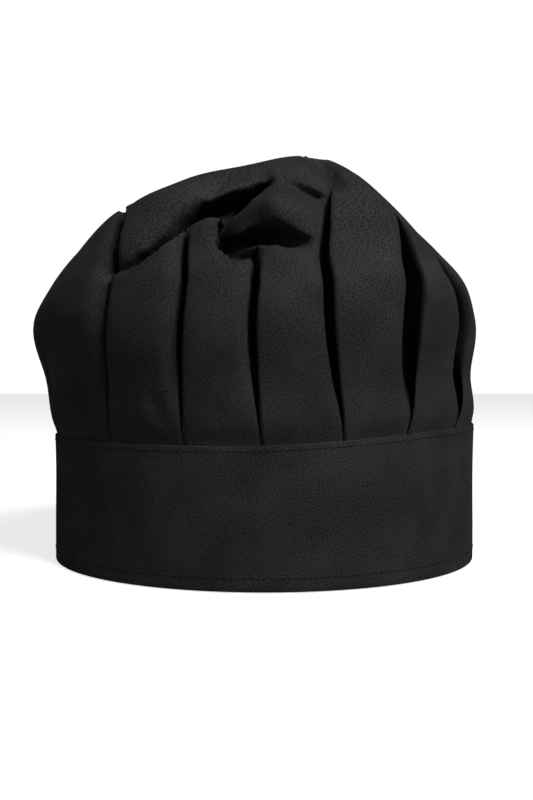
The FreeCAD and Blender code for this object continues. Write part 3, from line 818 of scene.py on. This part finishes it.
BEND_START, BEND_END = -1.0, 5.0  # mm along the tab, between which its cloth bends when it is peeled
bend_places = [tuple(tab_place(run, tab_middle_height, TAB_WALL) * MM) for run in (BEND_START, BEND_END)]
for name, face, node in (("tab_outer_cloth", 1, "tab_outer"), ("tab_lining_cloth", -1, "tab_lining")):
    ply = add_piece(name, tab_ply(name, face), black_cloth, None, thickness=0.3)
    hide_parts(node)
    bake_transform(ply)
CORE_INSET = 1.6  # mm of turned-in cloth that the fleece stops short of
core_runs = np.linspace(1.5, tab_length - CORE_INSET, 50)
core_shares = np.linspace(-1, 1, 12)
core_height = tab_middle_height + np.outer(core_shares, tab_half_height(core_runs) - CORE_INSET)
core_mesh = sheet_mesh(
    "tab_interfacing_fleece", tab_place(core_runs[None, :], core_height, 0.2),
    np.stack([core_height, core_runs[None, :] + 0 * core_height], axis=-1),
)
tab_fleece = add_piece("tab_interfacing_fleece", core_mesh, pressed_fleece, "tab", thickness=0.4)
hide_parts("tab_interfacing")

# ---------------------------------------------------------------------------------------------
# Hook and loop tapes. Woven black nylon, 25 mm wide. The loop tape is sewn round the band's other
# end and the hook tape inside the tab, and the two mesh over any length of overlap.

TAPE_LOW, TAPE_HIGH = 15.5, 40.5
NYLON_BLACK, NYLON_FLECK = "121213", "303033"
nylon_tape = woven_cloth("black_nylon_tape", NYLON_BLACK, NYLON_FLECK, slub=0.4, sheen=0.0, worn=0.05)
# Nylon filament: extruded, smooth and slightly glossy, so each hook and loop catches a point of light;
# lighter patches in its colour add a painted glint.
FILAMENT_BLACK, FILAMENT_PAINTED_GLINT = "161618", "38383C"
nylon_pile, tree, output = new_material("black_nylon_filament")
place = add_node(tree, "ShaderNodeTexCoord")
# painted glint: patches of the filaments' colour are made lighter, standing for light they catch
painted_glints = add_node(
    tree, "ShaderNodeTexNoise", {"Scale": 400.0, "Detail": 1.0}, Vector=place.outputs["Object"]
)
finish_surface(
    tree, output, {"Roughness": 0.4, "IOR": 1.53, "Specular IOR Level": 0.4},
    Base_Color=two_tones(tree, FILAMENT_BLACK, FILAMENT_PAINTED_GLINT, painted_glints.outputs["Fac"]),
)


def new_tree(name, sizes):
    """A Geometry Nodes tree with a geometry in and out, and named inputs for its sizes."""
    group = bpy.data.node_groups.new(name, "GeometryNodeTree")
    for label, kind in (("Geometry", "Geometry"), *sizes):
        group.interface.new_socket(label, in_out="INPUT", socket_type=f"NodeSocket{kind}")
    group.interface.new_socket("Geometry", in_out="OUTPUT", socket_type="NodeSocketGeometry")
    return group, add_node(group, "NodeGroupInput"), add_node(group, "NodeGroupOutput")


def plant(tree, start, finish, points, shape, upright, facing, spin, spin_axes, material):
    """End a tree: put a shape on every point with its upright axis the way the point faces, turn each
    by chance as far as the spin either way, and give all of them their material."""
    stand = add_node(tree, "FunctionNodeAlignRotationToVector", {"axis": upright}, Vector=facing)
    planted = add_node(tree, "GeometryNodeInstanceOnPoints", Points=points, Instance=shape, Rotation=stand)
    most = start.outputs[spin]
    least = add_node(tree, "ShaderNodeMath", {"operation": "MULTIPLY", "1": -1.0}, i0=most)
    chance = add_node(
        tree, "FunctionNodeRandomValue", {"data_type": "FLOAT"},
        i2=least, i3=most, Seed=start.outputs["Seed"],
    )
    turn = add_node(tree, "ShaderNodeCombineXYZ", **{axis: chance.outputs[1] for axis in spin_axes})
    turned = add_node(tree, "GeometryNodeRotateInstances", Instances=planted, Rotation=turn)
    made_real = add_node(tree, "GeometryNodeRealizeInstances", Geometry=turned)
    painted = add_node(
        tree, "GeometryNodeSetMaterial", Geometry=made_real, Material=start.outputs[material]
    )
    tree.links.new(painted.outputs[0], finish.inputs[0])


def held(name, base, kind):
    """An object that only holds a mesh while one modifier works on it, and that modifier."""
    holder = bpy.data.objects.new(name, base)
    bpy.context.collection.objects.link(holder)
    return holder, holder.modifiers.new(name, kind)


def made_plain(holder):
    """The plain mesh that a holder's modifier makes. The holder is thrown away."""
    holder.update_tag()
    evaluated = holder.evaluated_get(bpy.context.evaluated_depsgraph_get())
    mesh = bpy.data.meshes.new_from_object(evaluated)
    mesh.name = holder.name
    bpy.data.objects.remove(holder)
    return mesh


def grown(name, base, group, values):
    """The plain mesh that a Geometry Nodes tree makes from a base mesh, with its inputs set."""
    holder, modifier = held(name, base, "NODES")
    modifier.node_group = group
    for item in group.interface.items_tree:
        if item.item_type == "SOCKET" and item.in_out == "INPUT" and item.name in values:
            modifier[item.identifier] = values[item.name]
    mesh = made_plain(holder)
    for polygon in mesh.polygons:
        polygon.use_smooth = True
    return mesh


# One filament arc on every point: a short sweep leaves a hook, and a long one closes into a loop.
pile_tree, start, finish = new_tree("filament_pile", [
    ("Arc radius", "Float"), ("Sweep", "Float"), ("Filament radius", "Float"), ("Spin", "Float"),
    ("Seed", "Int"), ("Filament", "Material"),
])
arc = add_node(
    pile_tree, "GeometryNodeCurveArc", {"mode": "RADIUS", "Resolution": 7, "Start Angle": -math.pi / 2},
    Radius=start.outputs["Arc radius"], Sweep_Angle=start.outputs["Sweep"],
)
section = add_node(
    pile_tree, "GeometryNodeCurvePrimitiveCircle", {"mode": "RADIUS", "Resolution": 4},
    Radius=start.outputs["Filament radius"],
)
bent = add_node(
    pile_tree, "GeometryNodeCurveToMesh", {"Fill Caps": True},
    Curve=arc.outputs["Curve"], Profile_Curve=section.outputs["Curve"],
)
lift = add_node(pile_tree, "ShaderNodeCombineXYZ", Z=start.outputs["Arc radius"])
filament = add_node(
    pile_tree, "GeometryNodeTransform", {"Rotation": (math.pi / 2, 0, 0)},
    Geometry=bent, Translation=lift,
)
facing = add_node(pile_tree, "GeometryNodeInputNormal")
plant(
    pile_tree, start, finish, start.outputs["Geometry"], filament, upright="Z",
    facing=facing.outputs["Normal"], spin="Spin", spin_axes="Z", material="Filament",
)

FILAMENT = 0.09  # mm, the radius of one filament, drawn a little thick
TAPE_GROUND = 0.45  # mm, the thickness of a tape's woven ground
GROUND_PITCH, PILE_MARGIN = 1.3, 2.2  # mm between the ground's points, and from its edge to the pile
LOOP_TURNS = (math.radians(191), math.radians(241))
HOOK_TURNS = (math.radians(194), math.radians(216))


def tape_points(turns, radius, pitch, margin, outward):
    """A grid of points on a tape, margin in from its edges; the mesh's faces point the way it faces."""
    columns = int((turns[1] - turns[0]) * radius / pitch)
    around = np.linspace(turns[0] + margin / radius, turns[1] - margin / radius, columns)
    heights = np.linspace(TAPE_LOW + margin, TAPE_HIGH - margin, int((TAPE_HIGH - TAPE_LOW) / pitch))
    angle, height = np.meshgrid(around, heights)
    points = round_hat(angle, radius, height)
    cut = np.stack([height, angle * radius], axis=-1)
    if not outward:
        points, cut = points[:, ::-1], cut[:, ::-1]
    return points, cut


def join_mesh(first, second, name):
    """Two meshes as one, each keeping its materials."""
    both = bmesh.new()
    both.from_mesh(first)
    marks = len(first.materials)
    before = len(both.faces)
    both.from_mesh(second)
    both.faces.ensure_lookup_table()
    for face in both.faces[before:]:
        face.material_index += marks
    mesh = bpy.data.meshes.new(name)
    both.to_mesh(mesh)
    both.free()
    for material in [*first.materials, *second.materials]:
        mesh.materials.append(material)
    return mesh


def walled(points, cut, thickness, name):
    """A sheet mesh that already has its thickness, behind its face."""
    holder, wall = held(name, sheet_mesh(name, points, cut), "SOLIDIFY")
    wall.thickness = thickness * MM
    wall.offset = -1
    return made_plain(holder)


def sewn_tape(name, node, turns, face_radius, outward, body, pile):
    """A tape with its pile, as one piece that stands for a CAD tape."""
    ground_points = tape_points(turns, face_radius, GROUND_PITCH, 0.0, outward)
    ground = walled(*ground_points, TAPE_GROUND, f"{name}_ground")
    ground.materials.append(nylon_tape)
    points, cut = tape_points(turns, face_radius, pile["pitch"], PILE_MARGIN, outward)
    scatter_size = points.shape[:2] + (2,)
    scatter = np.random.default_rng(pile["seed"]).uniform(-pile["stray"], pile["stray"], scatter_size)
    points[..., 2] += scatter[..., 0]
    swing = scatter[..., 1] / face_radius
    x, y = points[..., 0].copy(), points[..., 1].copy()
    points[..., 0] = x * np.cos(swing) - y * np.sin(swing)
    points[..., 1] = x * np.sin(swing) + y * np.cos(swing)
    field = sheet_mesh(f"{name}_points", points, cut)
    values = {
        "Arc radius": pile["radius"] * MM, "Sweep": math.radians(pile["sweep"]),
        "Filament radius": FILAMENT * MM, "Spin": math.radians(pile["spin"]), "Seed": pile["seed"],
        "Filament": nylon_pile,
    }
    mesh = join_mesh(ground, grown(f"{name}_pile", field, pile_tree, values), name)
    piece = add_piece(name, mesh, None, body)
    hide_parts(node)
    return piece


LOOP_PILE = {"pitch": 1.25, "radius": 0.42, "sweep": 320, "spin": 180, "stray": 0.35, "seed": 3}
HOOK_PILE = {"pitch": 1.5, "radius": 0.33, "sweep": 235, "spin": 14, "stray": 0.05, "seed": 5}
loop_face = BAND_RADIUS + 1.0
hook_face = TAB_MIDDLE - TAB_WALL - 0.5
sewn_tape("loop_tape", "loop_strip", LOOP_TURNS, loop_face, True, "hat", LOOP_PILE)
sewn_tape("hook_tape", "hook_strip", HOOK_TURNS, hook_face, False, "tab", HOOK_PILE)

# ---------------------------------------------------------------------------------------------
# Stitching. Black polyester lockstitch, 2.5 mm long: round the band under its top edge and above its
# hem, round the tab, round each tape and down the binding. Each stitch sinks into the cloth at its ends.

STITCH_PITCH, STITCH_LENGTH, THREAD_RADIUS = 2.5, 2.15, 0.2
PROUD = 0.02  # mm that the middle of a thread stands off the cloth
THREAD_BLACK, THREAD_PAINTED_SHEEN = "0A0A0B", "1A1A1B"
# Polyester thread: two plies twisted together, with a low, silky shine along each stitch, partly painted: its
# colour is lighter along the twist, a painted sheen.
thread, tree, output = new_material("black_polyester_thread")
place = add_node(tree, "ShaderNodeTexCoord")
twist = add_node(
    tree, "ShaderNodeTexWave", {"Scale": 420.0, "Distortion": 1.0, "bands_direction": "DIAGONAL"},
    Vector=place.outputs["Object"],
)
finish_surface(
    tree, output, {"Roughness": 0.7, "Specular IOR Level": 0.1},
    Base_Color=two_tones(tree, THREAD_BLACK, THREAD_PAINTED_SHEEN, twist.outputs["Fac"]),
    Normal=raised(tree, 0.4, 0.1, twist.outputs["Fac"]),
)

stitch_tree, start, finish = new_tree("lockstitch_row", [
    ("Stitch pitch", "Float"), ("Stitch length", "Float"), ("Thread radius", "Float"),
    ("Waver", "Float"), ("Seed", "Int"), ("Thread", "Material"),
])
line = add_node(stitch_tree, "GeometryNodeMeshToCurve", Mesh=start.outputs["Geometry"])
evenly = add_node(
    stitch_tree, "GeometryNodeResampleCurve", {"mode": "LENGTH"},
    Curve=line, Length=start.outputs["Stitch pitch"],
)
ball = add_node(stitch_tree, "GeometryNodeMeshUVSphere", {"Segments": 6, "Rings": 5, "Radius": 1.0})
half_length = add_node(
    stitch_tree, "ShaderNodeMath", {"operation": "MULTIPLY", "1": 0.5}, i0=start.outputs["Stitch length"]
)
stretch = add_node(
    stitch_tree, "ShaderNodeCombineXYZ",
    X=half_length, Y=start.outputs["Thread radius"], Z=start.outputs["Thread radius"],
)
stitch = add_node(stitch_tree, "GeometryNodeTransform", Geometry=ball.outputs["Mesh"], Scale=stretch)
heading = add_node(stitch_tree, "GeometryNodeInputTangent")
plant(
    stitch_tree, start, finish, evenly, stitch, upright="X",
    facing=heading, spin="Waver", spin_axes="YZ", material="Thread",
)


def stitch_rows(name, lines, body, nodes, seed):
    """Sew rows of lockstitch along lines of points in mm, as one piece."""
    vertices, sides = [], []
    for points in lines:
        first = len(vertices)
        vertices += [tuple(point) for point in np.asarray(points) * MM]
        sides += [(first + k, first + k + 1) for k in range(len(points) - 1)]
    base = bpy.data.meshes.new(f"{name}_line")
    base.from_pydata(vertices, sides, [])
    values = {
        "Stitch pitch": STITCH_PITCH * MM, "Stitch length": STITCH_LENGTH * MM,
        "Thread radius": THREAD_RADIUS * MM, "Waver": math.radians(3), "Seed": seed, "Thread": thread,
    }
    piece = add_piece(name, grown(name, base, stitch_tree, values), None, body)
    if nodes:
        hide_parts(*nodes)
    return piece


ROW_STEPS = 400
row_turns = np.linspace(-BAND_TURN + 0.02, BAND_TURN - 0.02, ROW_STEPS)
TOP_ROW, HEM_ROW = 53.8, 5.5
for name, height, node, seed in (
    ("band_top_stitches", TOP_ROW, "band_top_stitching", 11),
    ("band_hem_stitches", HEM_ROW, "band_hem_stitching", 12),
):
    outside = band_place(row_turns, BAND_RADIUS + PROUD, height)
    inside = band_place(row_turns, LINING_RADIUS - PROUD, height)
    stitch_rows(name, [outside, inside], "hat", [node], seed)

TAB_ROW_INSET = 3.0
corner_steps = np.linspace(0, 1, 9)
upper_runs = np.concatenate([
    np.linspace(1.0, tab_length - TAB_CORNER, 40),
    tab_length - TAB_CORNER + (TAB_CORNER - TAB_ROW_INSET) * np.sin(corner_steps[1:] * math.pi / 2),
])
upper_half = tab_half_height(upper_runs, TAB_ROW_INSET)
tab_row = [(run, tab_middle_height + half) for run, half in zip(upper_runs, upper_half)]
tab_row += [(run, 2 * tab_middle_height - height) for run, height in tab_row[::-1]]
tab_row = np.array(tab_row)
tab_lines = [tab_place(tab_row[:, 0], tab_row[:, 1], face * (TAB_WALL + PROUD)) for face in (1, -1)]
stitch_rows("tab_edge_stitches", tab_lines, "tab", ["tab_edge_stitching"], 13)


TAPE_ROW_INSET = 1.4


def tape_row(turns, radius):
    """A closed row of stitches, a little in from a tape's edges."""
    left, right = turns[0] + TAPE_ROW_INSET / radius, turns[1] - TAPE_ROW_INSET / radius
    low, high = TAPE_LOW + TAPE_ROW_INSET, TAPE_HIGH - TAPE_ROW_INSET
    steps = np.linspace(0, 1, 24)
    around = [(left + (right - left) * t, low) for t in steps]
    around += [(right, low + (high - low) * t) for t in steps]
    around += [(right - (right - left) * t, high) for t in steps]
    around += [(left, high - (high - low) * t) for t in steps]
    turn, height = np.array(around).T
    return round_hat(turn, radius, height)


loop_rows = [tape_row(LOOP_TURNS, loop_face + PROUD)]
stitch_rows("loop_tape_stitches", loop_rows, "hat", ["loop_strip_stitching"], 14)
hook_rows = [tape_row(HOOK_TURNS, hook_face - PROUD), tape_row(HOOK_TURNS, TAB_MIDDLE + TAB_WALL + PROUD)]
stitch_rows("hook_tape_stitches", hook_rows, "tab", ["hook_strip_stitching"], 15)
BINDING_ROW = 3.8
shares = np.linspace(0.02, 1.0, 40)
binding_line = [beside_slit(1, share, BINDING_ROW, BINDING_LIFT + PROUD) for share in shares]
binding_line += [beside_slit(-1, share, BINDING_ROW, BINDING_LIFT + PROUD) for share in shares[::-1]]
stitch_rows("vent_binding_stitches", [binding_line], "hat", [], 16)

# ---------------------------------------------------------------------------------------------
# Crown edge overlock and care label. The pleated raw edge is overlocked inside the band. A blank
# white satin label, folded in half, is caught in the band's top seam and lies against the crown.

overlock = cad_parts["crown_edge_overlock"]
overlock.data.materials.clear()
overlock.data.materials.append(thread)

LABEL_WIDTH, LABEL_LENGTH = 25.0, 34.0
LABEL_TURN, LABEL_LEAN = math.radians(34), math.radians(4)
LABEL_FOOT = (91.6, 56.5)  # radius and height of the foot's outer face
LABEL_PLY, LABEL_HALF = 0.22, 0.45  # mm, one ply's thickness, and half the folded label's
LABEL_WHITE, LABEL_SHADE = "ECEBE6", "D6D4CC"
# Woven polyester satin: long floats across the label, so it is bright and smooth one way.
label_satin, tree, output = new_material("white_satin_ribbon")
cut_map = add_node(tree, "ShaderNodeUVMap", {"uv_map": "cut"})
floats = add_node(tree, "ShaderNodeMapping", {"Scale": (2600.0, 500.0, 1.0)}, Vector=cut_map)
satin = add_node(tree, "ShaderNodeTexNoise", {"Scale": 1.0, "Detail": 2.0}, Vector=floats)
finish_surface(
    tree, output, {"Roughness": 0.42, "Sheen Weight": 0.2, "Anisotropic": 0.5},
    Base_Color=two_tones(tree, LABEL_SHADE, LABEL_WHITE, satin.outputs["Fac"]),
    Normal=raised(tree, 0.3, 0.1, satin.outputs["Fac"]),
)


def label_place(side, climb, back):
    """A point of the label: across it, up it, and inward from its outer face, in mm."""
    x = side
    y = LABEL_FOOT[0] - back * math.cos(LABEL_LEAN) + climb * math.sin(LABEL_LEAN)
    z = LABEL_FOOT[1] + climb * math.cos(LABEL_LEAN) + back * math.sin(LABEL_LEAN)
    cosine, sine = math.cos(LABEL_TURN), math.sin(LABEL_TURN)
    return (x * cosine - y * sine, x * sine + y * cosine, z)


# up the outer ply, round the fold and down the inner ply, which is pinched in towards its foot
label_climbs = np.linspace(0, LABEL_LENGTH - 0.5, 16)
FOOT_REACH, FOOT_PINCH = 20.0, 0.25
label_ring = [(climb, 0.0) for climb in label_climbs]
for turn in np.linspace(0, math.pi, 7):
    fold_height = LABEL_LENGTH - LABEL_HALF + 0.4 * math.sin(turn)
    label_ring.append((fold_height, LABEL_HALF * (1 - math.cos(turn))))
for climb in label_climbs[::-1]:
    pinch = FOOT_PINCH * smooth_step(0, FOOT_REACH, FOOT_REACH - climb)
    label_ring.append((climb, 2 * LABEL_HALF - pinch))
label_sides = np.linspace(-LABEL_WIDTH / 2, LABEL_WIDTH / 2, 14)
label_points = np.array(
    [[label_place(side, climb, back) for side in label_sides] for climb, back in label_ring]
)
ring_steps = walked(np.array(label_ring))
label_cut = every_pair(ring_steps, label_sides)
label_mesh = sheet_mesh("care_label_ribbon", label_points[:, ::-1], label_cut[:, ::-1])
care_label = add_piece("care_label_ribbon", label_mesh, label_satin, "label", thickness=LABEL_PLY)
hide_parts("care_label")
